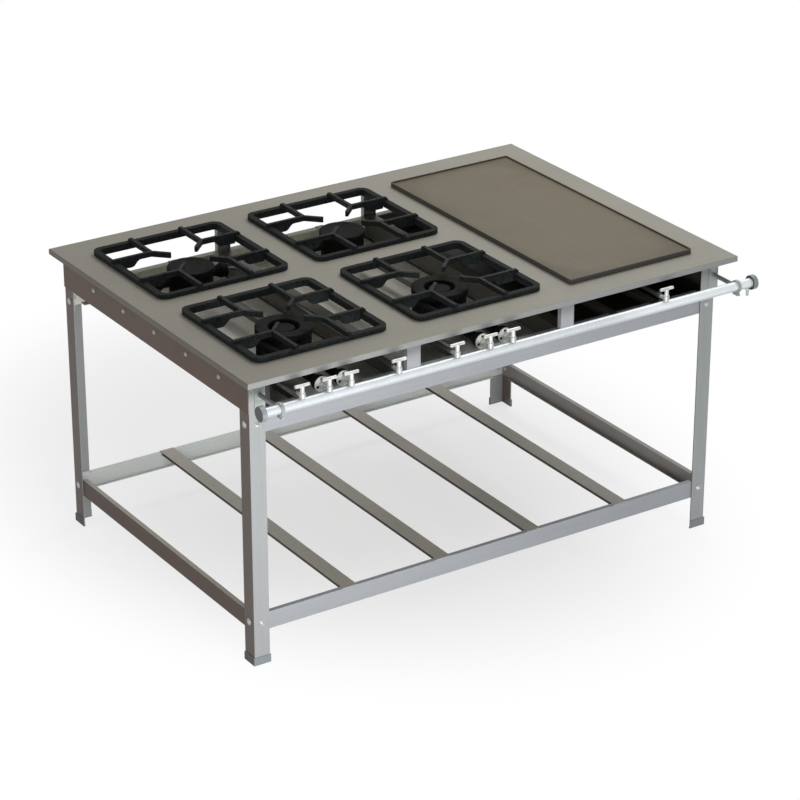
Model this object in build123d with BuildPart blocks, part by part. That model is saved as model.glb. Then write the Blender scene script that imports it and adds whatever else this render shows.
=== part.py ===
"""Industrial gas stove: a steel table with four grated burners, a griddle and a front gas manifold.

Lengths are millimetres. X runs to the right, Y to the back and Z up from the floor. The pieces are drawn
about the middle of the table top and moved, as they are written, so that the origin lies on the floor under
the middle of the whole stove's outline.
"""

import math
import os

from build123d import *

# Table top
table_width = 1485.0
table_depth = 1030.0
table_height = 800.0
top_sheet = 1.5
lip_height = 15.0
top_bend = 2.0

# One length by which every cut runs past what it cuts
overrun = 5.0

# Columns of burners, counted from the left edge of the top, and rows about its middle
column_inset = 268.5
column_pitch = 466.0
row_pitch = 468.0

# Grates
grate_size = 384.0
grate_corner = 27.0
grate_bar = 16.0
grate_bar_height = 12.0
grate_ledge = 8.0
grate_rib_clearance = 1.0
grate_rib_depth = 6.0
fin_thickness = 9.0
fin_spread = 150.0
fin_rise = 20.0
fin_drop = 11.0
fin_deep_run = 56.0
fin_slim_start = 86.0
fin_tip_depth = 14.0
ear_slope = 5.0
finger_length = 50.0

# Griddle tray, which fills the width between the grates and the right edge
griddle_gap = 77.0
griddle_margin = 89.5
griddle_depth = 846.0
griddle_y = -11.0
griddle_wall = 3.0
griddle_plate = 9.0
griddle_height = 13.0
griddle_corner = 5.0
griddle_ledge = 20.0
griddle_skirt = 12.0
skirt_clearance = 1.0

# Legs and their shoes
leg_flange = 45.0
leg_sheet = 3.0
leg_bend = 3.0
leg_side_inset = 31.5
leg_front_inset = 52.0
leg_back_inset = 20.0
shoe_sheet = 2.0
shoe_height = 22.0

# Upper frame, hung below the top; each post stands at its distance from the left column
rail_drop = 165.0
rail_height = 60.0
rail_sheet = 2.0
rail_flange = 20.0
rail_tab = 40.0
post_reaches = (239.0, 709.0)
post_width = 40.0
post_flange = 15.0
pan_sheet = 1.5
pan_lip = 12.0
pan_clearance = 2.0
pan_left_gap = 71.0
pan_right_gap = 14.0
pan_wall_gap = 2.0
apron_sheet = 1.5
apron_height = 105.5
bearer_flange = 30.0
bearer_height = 73.5

# Lower shelf
shelf_rail_bottom = 92.0
shelf_rail_height = 48.0
shelf_rail_flange = 13.0
slat_width = 42.0
slat_sheet = 1.5
slat_fold = 8.0
slat_count = 4

# Burner rails
burner_rail_width = 24.0
burner_rail_fold = 16.0
burner_rail_offset = 84.0
griddle_rail_offset = 67.0

# Burners
burner_base_lift = 8.0
burner_floor = 8.0
burner_wall = 6.0
burner_drop = 12.0
crown_height = 16.0
spigot_depth = 3.5
spigot_clearance = 0.4
front_burner_radius = 73.0
front_body_radius = 70.0
crown_inner_radius = 44.0
inner_wall = 4.0
inner_cap_radius = 29.0
centre_post_radius = 26.0
centre_bore_radius = 18.0
centre_cap_drop = 5.0
back_burner_radius = 62.0
back_body_radius = 58.0
flame_slot = 4.0
flame_slot_depth = 5.0
flame_slot_count = 28
inner_slot_count = 12
burner_ear_width = 26.0
burner_ear_inset = 20.0
cap_edge = 3.0

# Mixing tubes and their mouths, just in front of the top's front edge
mixing_drop = 44.0
mixing_radius = 12.0
mixing_bore = 8.5
mouth_radius = 20.0
mouth_reach = 8.0
mouth_wall = 3.0
mouth_depth = 14.0
mouth_cone = 18.0
air_hole_radius = 3.8
air_hole_circle = 12.6
air_hole_count = 3
jet_hole_radius = 5.5
shutter_sheet = 2.0
shutter_gap = 0.3
shutter_rim = 8.0
shutter_rim_radius = 7.0

# Manifold, in front of the top's front edge
manifold_reach = 45.0
manifold_drop = 61.5
manifold_shift = 12.0
manifold_extra = 11.0
manifold_radius = 12.7
manifold_wall = 2.6
cap_radius = 19.5
end_cap_wall = 4.0
end_cap_depth = 14.0
bracket_inset = 18.0
bracket_width = 30.0
bracket_height = 84.0
bracket_drop = 102.0
bracket_sheet = 2.0
bracket_arm_radius = 6.0
clamp_radius = 17.0
clamp_width = 8.0
clamp_clearance = 0.05
clamp_tab_width = 9.0
clamp_tab_drop = 7.0
clamp_gap = 3.0
clamp_pad = 14.0
clamp_screw_radius = 2.0
clamp_screw_head = 3.5
nozzle_inset = 17.0
nozzle_radius = 3.5
nozzle_length = 22.0
nozzle_collar = 6.5
nozzle_collar_height = 5.0
nozzle_barb = 1.0
nozzle_barb_pitch = 5.0
nozzle_barb_count = 3
nozzle_bore = 2.0

# Gas taps: distance of each from the middle of its column or of the griddle
back_tap_offsets = ((-145.0, 130.0), (-165.0,))
front_tap_offsets = ((-69.0, -7.0), (-66.0, 2.0))
griddle_tap_offset = 17.0
tap_radius = 8.0
tap_height = 14.0
tap_spigot_radius = 4.5
tap_spigot_clearance = 0.1
outlet_radius = 4.5
outlet_length = 16.0
jet_radius = 4.0
jet_entry = 2.5
jet_bore = 1.0
jet_bore_depth = 10.0
spindle_radius = 3.0
spindle_length = 8.0
spindle_clearance = 0.05
spindle_end_gap = 1.0
stem_radius = 5.5
handle_bar_length = 41.0
handle_bar_radius = 4.2
handle_drop = 16.0
handle_rounding = 1.2

# Supply pipes to the back burners and the griddle burner
pipe_radius = 5.0
pipe_wall = 1.0
pipe_bend = 28.0
union_radius = 8.0
union_length = 12.0
pipe_mouth_gap = 1.0

# Griddle burner
griddle_bar_radius = 13.0
griddle_bar_bore = 10.0
griddle_burner_front = -400.0
griddle_cross_y = -300.0
griddle_bar_end = 340.0
griddle_foot_radius = 7.0
griddle_foot_inset = 60.0
port_radius = 1.5
port_pitch = 40.0

# Bolts and rivets
bolt_radius = 3.0
bolt_clearance = 0.3
bolt_head_radius = 6.5
bolt_head_height = 4.0
bolt_nut_radius = 5.5
bolt_nut_height = 5.0
upper_bolt_lift = 23.0
lower_bolt_lift = 24.0
bolt_edge = 22.5
rivet_radius = 2.5
rivet_clearance = 0.2
rivet_head_radius = 6.5
rivet_head_height = 4.0
rivet_tail_radius = 4.0
rivet_tail_height = 3.0
rivet_drop = 60.0
rivet_pitch = 162.0
rivet_middle_y = 2.0
rivets_per_side = 5

# Places worked out from the sizes above
sheet_bottom = table_height - top_sheet
lip_bottom = table_height - lip_height
left_column_x = column_inset - table_width / 2
column_x = (left_column_x, left_column_x + column_pitch)
row_y = (-row_pitch / 2, row_pitch / 2)
grate_opening = grate_size - 2 * grate_ledge
griddle_left = column_x[-1] + grate_size / 2 + griddle_gap
griddle_right = table_width / 2 - griddle_margin
griddle_width = griddle_right - griddle_left
griddle_x = (griddle_left + griddle_right) / 2
leg_span = table_width - 2 * leg_side_inset
leg_x = leg_span / 2
leg_front_y = leg_front_inset - table_depth / 2
leg_back_y = table_depth / 2 - leg_back_inset
web_front = leg_front_y + leg_sheet
web_back = leg_back_y - leg_sheet
web_side = leg_x - leg_sheet
flange_side = leg_x - leg_flange
flange_front = leg_front_y + leg_flange
flange_back = leg_back_y - leg_flange
rail_bottom = table_height - rail_drop
rail_top = rail_bottom + rail_height
between_front = web_front + rail_flange
between_back = web_back - rail_flange
post_places = [left_column_x + reach for reach in post_reaches]
pan_left = pan_left_gap - leg_x
pan_right = leg_x - pan_right_gap
shelf_top = shelf_rail_bottom + shelf_rail_height
burner_rail_top = rail_top + rail_sheet
burner_top = table_height - burner_drop
crown_seat = burner_top - crown_height
mixing_z = table_height - mixing_drop
mouth_y = -table_depth / 2 - mouth_reach
jet_end_y = mouth_y + jet_entry
manifold_y = -table_depth / 2 - manifold_reach
manifold_z = table_height - manifold_drop
manifold_length = table_width + manifold_extra
manifold_top = manifold_z + manifold_radius
bracket_span = leg_span - 2 * bracket_inset
bracket_bottom = table_height - bracket_drop
tap_top = manifold_top + tap_height
handle_z = table_height - handle_drop
column_pipes = [[x + offset for offset in row] for x, row in zip(column_x, back_tap_offsets)]
column_taps = [[x + offset for offset in row] for x, row in zip(column_x, front_tap_offsets)]
front_feed_taps = [x for row in column_taps for x in row]
griddle_tap = griddle_x + griddle_tap_offset
tap_places = sorted([x for row in column_pipes for x in row] + front_feed_taps + [griddle_tap])
upper_bolt_z = rail_bottom + upper_bolt_lift
lower_bolt_z = shelf_rail_bottom + lower_bolt_lift
rivet_z = table_height - rivet_drop
manifold_ends = (manifold_shift - manifold_length / 2, manifold_shift + manifold_length / 2)
bracket_places = (manifold_shift - bracket_span / 2, manifold_shift + bracket_span / 2)

# The middle of the whole outline, where the origin goes
outline_left = min(-table_width / 2, manifold_ends[0] - end_cap_wall)
outline_right = max(table_width / 2, manifold_ends[1] + end_cap_wall)
outline_front = min(-table_depth / 2, manifold_y - cap_radius)
middle_x = (outline_left + outline_right) / 2
middle_y = (outline_front + table_depth / 2) / 2

pieces = {}


def finish(piece, name):
    """Label a finished piece, move it to the stove's origin and keep it for writing."""
    piece.part = piece.part.moved(Location((-middle_x, -middle_y, 0)))
    piece.part.label = name
    pieces[name] = piece


def block(low, high, mode=Mode.ADD):
    """Add or cut a box between two corners of the piece being made."""
    middle = tuple((a + b) / 2 for a, b in zip(low, high))
    size = tuple(b - a for a, b in zip(low, high))
    with Locations(middle):
        Box(*size, mode=mode)


def rod(start, end, radius, mode=Mode.ADD):
    """Add or cut a round bar between two points of the piece being made."""
    way = Vector(*end) - Vector(*start)
    with BuildSketch(Plane(origin=start, z_dir=way)) as section:
        Circle(radius)
    extrude(section.sketch, amount=way.length, mode=mode)


# Top plate: one sheet with a folded lip, four burner openings and the griddle opening
with BuildPart() as top_plate:
    with BuildSketch(Plane.XY.offset(lip_bottom)):
        Rectangle(table_width, table_depth)
    extrude(amount=lip_height)
    fillet(top_plate.faces().sort_by(Axis.Z)[-1].edges(), radius=top_bend)
    with BuildSketch(Plane.XY.offset(lip_bottom)):
        Rectangle(table_width - 2 * top_sheet, table_depth - 2 * top_sheet)
    extrude(amount=lip_height - top_sheet, mode=Mode.SUBTRACT)
    with BuildSketch(Plane.XY.offset(sheet_bottom - overrun)):
        with Locations(*[(x, y) for x in column_x for y in row_y]):
            RectangleRounded(grate_opening, grate_opening, grate_corner - grate_ledge)
        with Locations((griddle_x, griddle_y)):
            Rectangle(griddle_width - 2 * griddle_ledge, griddle_depth - 2 * griddle_ledge)
    extrude(amount=top_sheet + 2 * overrun, mode=Mode.SUBTRACT)
finish(top_plate, "top_plate")


# Grate pattern: a rounded frame with a rib that drops into its opening, eight fins and the four diagonal
# fingers where they meet; the fins from the left and right bars are deep at their roots, those from the
# front and back bars are slim all along
half = grate_size / 2
spread = fin_spread / 2
with BuildPart() as grate_pattern:
    with BuildSketch(Plane.XY.offset(table_height)):
        RectangleRounded(grate_size, grate_size, grate_corner)
        inner = grate_size - 2 * grate_bar
        RectangleRounded(inner, inner, grate_corner - grate_bar, mode=Mode.SUBTRACT)
    extrude(amount=grate_bar_height)
    with BuildSketch(Plane.XY.offset(table_height - grate_rib_depth)):
        rib = grate_opening - 2 * grate_rib_clearance
        RectangleRounded(rib, rib, grate_corner - grate_ledge - grate_rib_clearance)
        RectangleRounded(inner, inner, grate_corner - grate_bar, mode=Mode.SUBTRACT)
    extrude(amount=grate_rib_depth)
    run = half - spread + fin_thickness / 2
    slim = fin_rise - fin_tip_depth
    for quarter in range(4):
        turn = math.radians(90 * quarter)
        inward = Vector(-math.sin(turn), math.cos(turn), 0)
        along = Vector(math.cos(turn), math.sin(turn), 0)
        deep = quarter % 2 == 1
        for side in (-spread, spread):
            start = Vector(0, 0, table_height) - inward * half + along * side
            with BuildSketch(Plane(origin=start, x_dir=inward, z_dir=along)):
                with BuildLine():
                    if deep:
                        Polyline((fin_deep_run, -fin_drop), (grate_bar, -fin_drop), (grate_bar, 0), (0, 0),
                                 (0, fin_rise - ear_slope), (ear_slope, fin_rise), (run, fin_rise),
                                 (run, slim), (fin_slim_start, slim))
                        Spline((fin_slim_start, slim), (fin_deep_run, -fin_drop),
                               tangents=((-1, 0), (-1, 0)))
                    else:
                        Polyline((grate_bar, slim), (grate_bar, 0), (0, 0), (0, fin_rise - ear_slope),
                                 (ear_slope, fin_rise), (run, fin_rise), (run, slim), close=True)
                make_face()
            extrude(amount=fin_thickness / 2, both=True)
        outward = (along - inward).normalized()
        tip = Vector(0, 0, table_height + slim) + outward * (spread * math.sqrt(2) - finger_length)
        with BuildSketch(Plane(origin=tip, x_dir=outward)):
            Rectangle(finger_length, fin_thickness, align=(Align.MIN, Align.CENTER))
            Circle(fin_thickness / 2)
        extrude(amount=fin_tip_depth)

for row, y in zip(("front", "back"), row_y):
    for column, x in zip(("left", "middle"), column_x):
        with BuildPart() as grate:
            with Locations((x, y)):
                add(grate_pattern.part)
        finish(grate, f"grate_{row}_{column}")

# Griddle tray: a flat plate with low walls and a skirt that drops into the opening
with BuildPart() as griddle_tray:
    with BuildSketch(Plane.XY.offset(table_height)):
        with Locations((griddle_x, griddle_y)):
            RectangleRounded(griddle_width, griddle_depth, griddle_corner)
    extrude(amount=griddle_height)
    with BuildSketch(Plane.XY.offset(table_height + griddle_plate)):
        with Locations((griddle_x, griddle_y)):
            RectangleRounded(griddle_width - 2 * griddle_wall, griddle_depth - 2 * griddle_wall,
                             griddle_corner - griddle_wall)
    extrude(amount=griddle_height, mode=Mode.SUBTRACT)
    with BuildSketch(Plane.XY.offset(table_height - griddle_skirt)):
        with Locations((griddle_x, griddle_y)):
            skirt_width = griddle_width - 2 * (griddle_ledge + skirt_clearance)
            skirt_depth = griddle_depth - 2 * (griddle_ledge + skirt_clearance)
            Rectangle(skirt_width, skirt_depth)
            Rectangle(skirt_width - 2 * griddle_wall, skirt_depth - 2 * griddle_wall, mode=Mode.SUBTRACT)
    extrude(amount=griddle_skirt)
finish(griddle_tray, "griddle_tray")


def bolt_hole(point, way):
    """Cut a clearance hole for a frame bolt through whatever wall stands at the point."""
    start = Vector(*point) - Vector(*way) * overrun
    end = start + Vector(*way) * (2 * overrun)
    rod(tuple(start), tuple(end), bolt_radius + bolt_clearance, Mode.SUBTRACT)


def leg_bolts(side, end):
    """The places and outward ways of one leg's four bolts."""
    corner_y = leg_front_y if end < 0 else leg_back_y
    flat = (side * (leg_x - bolt_edge), corner_y)
    upright = (side * leg_x, corner_y - end * bolt_edge)
    places = []
    for z in (upper_bolt_z, lower_bolt_z):
        places.append(((flat[0], flat[1], z), (0, end, 0)))
        places.append(((upright[0], upright[1], z), (side, 0, 0)))
    return places


def make_leg(side, end):
    """An angle-section leg with its corner outwards, drilled for its bolts."""
    corner_x = side * leg_x
    corner_y = leg_front_y if end < 0 else leg_back_y
    with BuildPart() as leg:
        with BuildSketch(Plane.XY.offset(shoe_sheet)):
            with BuildLine():
                Polyline((corner_x, corner_y), (corner_x - side * leg_flange, corner_y),
                         (corner_x - side * leg_flange, corner_y - end * leg_sheet),
                         (corner_x - side * leg_sheet, corner_y - end * leg_sheet),
                         (corner_x - side * leg_sheet, corner_y - end * leg_flange),
                         (corner_x, corner_y - end * leg_flange), close=True)
            make_face()
        extrude(amount=sheet_bottom - shoe_sheet)
        fold = leg.edges().filter_by(Axis.Z).sort_by_distance((corner_x, corner_y, table_height / 2))[0]
        fillet(fold, radius=leg_bend)
        for place, way in leg_bolts(side, end):
            bolt_hole(place, way)
    return leg


corners = {"front_left": (-1, -1), "front_right": (1, -1), "back_left": (-1, 1), "back_right": (1, 1)}
for name, (side, end) in corners.items():
    finish(make_leg(side, end), f"leg_{name}")

# Leg shoes: an angle of sheet round the outside of each leg's foot, with a sole under it
with BuildPart() as leg_shoes:
    for side, end in corners.values():
        outer_x = side * (leg_x + shoe_sheet)
        outer_y = (leg_front_y - shoe_sheet) if end < 0 else (leg_back_y + shoe_sheet)
        reach = leg_flange + 2 * shoe_sheet
        with BuildSketch():
            with BuildLine():
                Polyline((outer_x, outer_y), (outer_x - side * reach, outer_y),
                         (outer_x - side * reach, outer_y - end * (leg_sheet + shoe_sheet)),
                         (outer_x - side * (leg_sheet + shoe_sheet),
                          outer_y - end * (leg_sheet + shoe_sheet)),
                         (outer_x - side * (leg_sheet + shoe_sheet), outer_y - end * reach),
                         (outer_x, outer_y - end * reach), close=True)
            make_face()
        extrude(amount=shoe_sheet)
        with BuildSketch(Plane.XY.offset(shoe_sheet)):
            with BuildLine():
                Polyline((outer_x, outer_y), (outer_x - side * reach, outer_y),
                         (outer_x - side * reach, outer_y - end * shoe_sheet),
                         (outer_x - side * shoe_sheet, outer_y - end * shoe_sheet),
                         (outer_x - side * shoe_sheet, outer_y - end * reach),
                         (outer_x, outer_y - end * reach), close=True)
            make_face()
        extrude(amount=shoe_height - shoe_sheet)
finish(leg_shoes, "leg_shoes")


def make_cross_rail(end, bottom, height, flange, tab, bolt_z):
    """A folded channel between two legs, front (-1) or back (1), with its flanges turned inwards."""
    outer = web_front if end < 0 else web_back
    inner = outer - end * rail_sheet
    edge = outer - end * flange
    with BuildPart() as rail:
        block((-web_side, min(outer, inner), bottom), (web_side, max(outer, inner), bottom + height))
        for low in (bottom, bottom + height - rail_sheet):
            block((-flange_side, min(inner, edge), low), (flange_side, max(inner, edge), low + rail_sheet))
        for side in (-1, 1):
            if tab:
                far = outer - end * tab
                sides = sorted((side * web_side, side * (web_side - rail_sheet)))
                block((sides[0], min(inner, far), bottom), (sides[1], max(inner, far), bottom + height))
                bolt_y = (leg_front_y if end < 0 else leg_back_y) - end * bolt_edge
                bolt_hole((side * web_side, bolt_y, bolt_z), (side, 0, 0))
            bolt_hole((side * (leg_x - bolt_edge), outer, bolt_z), (0, end, 0))
    return rail


for name, end in (("front", -1), ("back", 1)):
    upper = make_cross_rail(end, rail_bottom, rail_height, rail_flange, rail_tab, upper_bolt_z)
    finish(upper, f"upper_rail_{name}")
    lower = make_cross_rail(end, shelf_rail_bottom, shelf_rail_height, shelf_rail_flange, 0, lower_bolt_z)
    finish(lower, f"shelf_rail_{name}")

# Side shelf rails: the same channel, front to back
for name, side in (("left", -1), ("right", 1)):
    with BuildPart() as side_rail:
        outer = side * web_side
        inner = side * (web_side - rail_sheet)
        edge = side * (web_side - shelf_rail_flange)
        block((min(outer, inner), web_front + rail_sheet, shelf_rail_bottom),
              (max(outer, inner), web_back - rail_sheet, shelf_top))
        for low in (shelf_rail_bottom, shelf_top - rail_sheet):
            block((min(inner, edge), flange_front, low), (max(inner, edge), flange_back, low + rail_sheet))
        for y in (leg_front_y + bolt_edge, leg_back_y - bolt_edge):
            bolt_hole((outer, y, lower_bolt_z), (side, 0, 0))
    finish(side_rail, f"shelf_rail_{name}")


def make_strip(x, width, sheet, fold, bottom, flange):
    """A strip with turned-down sides that lies front to back on the flanges of two rails."""
    block((x - width / 2, web_front, bottom), (x + width / 2, web_back, bottom + sheet))
    for side in (-1, 1):
        sides = sorted((x + side * width / 2, x + side * (width / 2 - sheet)))
        block((sides[0], web_front + flange, bottom - fold + sheet), (sides[1], web_back - flange, bottom))


# Shelf slats, evenly spaced between the side rails
with BuildPart() as shelf_slats:
    slat_pitch = leg_span / (slat_count + 1)
    for place in range(slat_count):
        make_strip((place - (slat_count - 1) / 2) * slat_pitch, slat_width, slat_sheet, slat_fold, shelf_top,
                   shelf_rail_flange)
finish(shelf_slats, "shelf_slats")

# Burner rails: two under each column of burners and two under the griddle burner
rail_places = [x + side * burner_rail_offset for x in column_x for side in (-1, 1)]
rail_places += [griddle_x + side * griddle_rail_offset for side in (-1, 1)]
with BuildPart() as burner_rails:
    for x in rail_places:
        make_strip(x, burner_rail_width, rail_sheet, burner_rail_fold, rail_top, rail_flange)
finish(burner_rails, "burner_rails")


def make_post(end):
    """Two upright channels on an upper rail, which carry the edge of the top plate."""
    outer = web_front if end < 0 else web_back
    with BuildPart() as posts:
        for x in post_places:
            inner = outer - end * rail_sheet
            edge = outer - end * post_flange
            block((x - post_width / 2, min(outer, inner), rail_top),
                  (x + post_width / 2, max(outer, inner), sheet_bottom))
            for side in (-1, 1):
                sides = sorted((x + side * post_width / 2, x + side * (post_width / 2 - rail_sheet)))
                block((sides[0], min(inner, edge), rail_top), (sides[1], max(inner, edge), sheet_bottom))
    return posts


finish(make_post(-1), "front_posts")
finish(make_post(1), "back_posts")

# Dividers: inverted channels between the upper rails, in line with the posts
with BuildPart() as dividers:
    for x in post_places:
        block((x - post_width / 2, between_front, rail_top - rail_sheet),
              (x + post_width / 2, between_back, rail_top))
        for side in (-1, 1):
            sides = sorted((x + side * post_width / 2, x + side * (post_width / 2 - rail_sheet)))
            block((sides[0], between_front, rail_bottom), (sides[1], between_back, rail_top - rail_sheet))
finish(dividers, "dividers")

# Drip pans: a sheet in each bay, on the lower flanges of the upper rails, with its sides turned up; the
# walls at the stove's two ends reach nearly up to the fins of the grates
with BuildPart() as drip_pans:
    divider_gap = post_width / 2 + pan_clearance
    lows = [pan_left] + [x + divider_gap for x in post_places]
    highs = [x - divider_gap for x in post_places] + [pan_right]
    for low, high in zip(lows, highs):
        floor = rail_bottom + rail_sheet
        block((low, web_front + rail_sheet, floor), (high, web_back - rail_sheet, floor + pan_sheet))
        for wall, outermost in ((low, low == pan_left), (high - pan_sheet, high == pan_right)):
            turned_up = rail_top - rail_sheet if outermost else floor + pan_lip
            block((wall, web_front + rail_sheet, floor + pan_sheet),
                  (wall + pan_sheet, web_back - rail_sheet, turned_up))
            if outermost:
                block((wall, between_front, turned_up),
                      (wall + pan_sheet, between_back, table_height - fin_drop - pan_wall_gap))
finish(drip_pans, "drip_pans")

# Rivet places along one side
rivet_ys = [rivet_middle_y + (n - (rivets_per_side - 1) / 2) * rivet_pitch for n in range(rivets_per_side)]


def rivet_holes(side):
    """Cut the row of rivet holes through the wall at one side of the stove."""
    for y in rivet_ys:
        ends = sorted((side * (leg_x - overrun), side * (leg_x + overrun)))
        rod((ends[0], y, rivet_z), (ends[1], y, rivet_z), rivet_radius + rivet_clearance, Mode.SUBTRACT)


# Side aprons: flat panels that hang from the top plate outside the legs
for name, side in (("left", -1), ("right", 1)):
    with BuildPart() as apron:
        sides = sorted((side * leg_x, side * (leg_x + apron_sheet)))
        block((sides[0], leg_front_y, sheet_bottom - apron_height), (sides[1], leg_back_y, sheet_bottom))
        rivet_holes(side)
    finish(apron, f"side_apron_{name}")

# Side bearers: angles riveted inside the aprons that carry the sides of the top plate
with BuildPart() as side_bearers:
    for side in (-1, 1):
        sides = sorted((side * leg_x, side * (leg_x - rail_sheet)))
        block((sides[0], flange_front, sheet_bottom - bearer_height), (sides[1], flange_back, sheet_bottom))
        sides = sorted((side * (leg_x - rail_sheet), side * (leg_x - bearer_flange)))
        block((sides[0], flange_front, sheet_bottom - rail_sheet), (sides[1], flange_back, sheet_bottom))
    for side in (-1, 1):
        rivet_holes(side)
finish(side_bearers, "side_bearers")


def dome(point, way, radius, height):
    """Add a low domed head that stands on a face at the point."""
    sphere_radius = (radius * radius + height * height) / (2 * height)
    with BuildSketch(Plane(origin=point, x_dir=(0, 0, 1), z_dir=Vector(0, 0, 1).cross(Vector(*way)))) as cut:
        with BuildLine():
            # In this sketch Y runs out of the face and X lies along it
            RadiusArc((0, height), (radius, 0), sphere_radius)
            Line((radius, 0), (0, 0))
            Line((0, 0), (0, height))
        make_face()
    revolve(cut.sketch, axis=Axis(point, way))


# Frame bolts: head, shank and nut, four at each leg
with BuildPart() as frame_bolts:
    for side, end in corners.values():
        for place, way in leg_bolts(side, end):
            outward = Vector(*way)
            face = Vector(*place)
            back = face - outward * (leg_sheet + rail_sheet)
            dome(tuple(face), way, bolt_head_radius, bolt_head_height)
            rod(tuple(back), tuple(face), bolt_radius)
            with BuildSketch(Plane(origin=tuple(back - outward * bolt_nut_height), z_dir=way)):
                RegularPolygon(bolt_nut_radius, 6)
            extrude(amount=bolt_nut_height)
finish(frame_bolts, "frame_bolts")

# Apron rivets
with BuildPart() as apron_rivets:
    for side in (-1, 1):
        for y in rivet_ys:
            face = (side * (leg_x + apron_sheet), y, rivet_z)
            back = (side * (leg_x - rail_sheet), y, rivet_z)
            dome(face, (side, 0, 0), rivet_head_radius, rivet_head_height)
            rod(back, face, rivet_radius)
            rod((side * (leg_x - rail_sheet - rivet_tail_height), y, rivet_z), back, rivet_tail_radius)
finish(apron_rivets, "apron_rivets")


def mixing_tube(mouth, end, bore_end):
    """Add a mixing tube from its drilled mouth, with a bell and a throat, to its burner."""
    start = Vector(*mouth)
    way = (Vector(*end) - start).normalized()
    inner = mouth_radius - mouth_wall
    rod(mouth, tuple(start + way * mouth_depth), mouth_radius)
    with BuildSketch(Plane(origin=tuple(start + way * mouth_depth), z_dir=way)) as wide:
        Circle(mouth_radius)
    with BuildSketch(Plane(origin=tuple(start + way * (mouth_depth + mouth_cone)), z_dir=way)) as narrow:
        Circle(mixing_radius)
    loft([wide.sketch, narrow.sketch])
    rod(tuple(start + way * (mouth_depth + mouth_cone)), end, mixing_radius)
    rod(tuple(start + way * mouth_wall), tuple(start + way * mouth_depth), inner, Mode.SUBTRACT)
    rod(tuple(start + way * mouth_depth), bore_end, mixing_bore, Mode.SUBTRACT)
    rod(tuple(start - way * overrun), tuple(start + way * (2 * mouth_wall)), jet_hole_radius, Mode.SUBTRACT)
    across = way.cross(Vector(0, 0, 1))
    for hole in range(air_hole_count):
        turn = math.radians(360 / air_hole_count * hole + 90)
        spot = start + (across * math.cos(turn) + Vector(0, 0, 1) * math.sin(turn)) * air_hole_circle
        rod(tuple(spot - way * overrun), tuple(spot + way * (2 * mouth_wall)), air_hole_radius,
            Mode.SUBTRACT)


def burner_ears(x, y, radius):
    """Add the two lugs by which a burner lies on its pair of rails."""
    reach = burner_rail_offset + burner_rail_width / 2
    for side in (-1, 1):
        sides = sorted((x + side * (radius - burner_ear_inset), x + side * reach))
        block((sides[0], y - burner_ear_width / 2, burner_rail_top),
              (sides[1], y + burner_ear_width / 2, burner_rail_top + burner_base_lift + burner_floor))


def ring(x, y, bottom, top, outer, inner, mode=Mode.ADD):
    """Add or cut an upright ring, or a disc where the inner radius is zero."""
    with BuildSketch(Plane.XY.offset(bottom)) as section:
        with Locations((x, y)):
            Circle(outer)
            if inner:
                Circle(inner, mode=Mode.SUBTRACT)
    extrude(section.sketch, amount=top - bottom, mode=mode)


def flame_slots(x, y, outer, bottom, count):
    """Cut radial slots through the foot of a crown or cap wall."""
    with BuildSketch(Plane.XY.offset(bottom)) as section:
        with Locations((x, y)):
            with PolarLocations(outer, count):
                Rectangle(2 * burner_wall + overrun, flame_slot)
    extrude(section.sketch, amount=flame_slot_depth, mode=Mode.SUBTRACT)


base = burner_rail_top + burner_base_lift


def make_front_burner(x, y, taps):
    """A double burner body: an outer ring chamber, a centre post and two mixing tubes."""
    floor = base + burner_floor
    with BuildPart() as body:
        ring(x, y, base, crown_seat, front_body_radius, 0)
        burner_ears(x, y, front_body_radius)
        outer_tap, centre_tap = taps
        mixing_tube((outer_tap, mouth_y, mixing_z), (outer_tap, y, mixing_z),
                    (outer_tap, y - mixing_radius, mixing_z))
        block((outer_tap - mixing_radius, y - 2 * mixing_radius, base),
              (outer_tap + mixing_radius, y, mixing_z - mixing_bore))
        ring(x, y, floor, crown_seat, front_body_radius - burner_wall, crown_inner_radius, Mode.SUBTRACT)
        ring(x, y, floor, crown_seat, crown_inner_radius - inner_wall, centre_post_radius, Mode.SUBTRACT)
        ring(x, y, floor, crown_seat, centre_bore_radius, 0, Mode.SUBTRACT)
        post_meet = y - centre_post_radius + inner_wall
        mixing_tube((centre_tap, mouth_y, mixing_z), (centre_tap, post_meet, mixing_z),
                    (centre_tap, y, mixing_z))
    return body


def make_crown(x, y):
    """The lift-off outer crown of a double burner, slotted for the flames."""
    with BuildPart() as crown:
        ring(x, y, crown_seat, burner_top, front_burner_radius, crown_inner_radius - inner_wall)
        ring(x, y, crown_seat - spigot_depth, crown_seat,
             front_body_radius - burner_wall - spigot_clearance,
             front_body_radius - 2 * burner_wall)
        fillet(crown.faces().sort_by(Axis.Z)[-1].edges(), radius=cap_edge)
        flame_slots(x, y, front_burner_radius, crown_seat, flame_slot_count)
    return crown


def make_cap(x, y, radius, top, post_bore, slots):
    """A lift-off burner cap with a spigot that drops into the post below it."""
    with BuildPart() as cap:
        ring(x, y, crown_seat, top, radius, 0)
        ring(x, y, crown_seat - spigot_depth, crown_seat, post_bore - spigot_clearance,
             post_bore - spigot_clearance - inner_wall)
        fillet(cap.faces().sort_by(Axis.Z)[-1].edges(), radius=cap_edge)
        flame_slots(x, y, radius, crown_seat, slots)
    return cap


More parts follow.
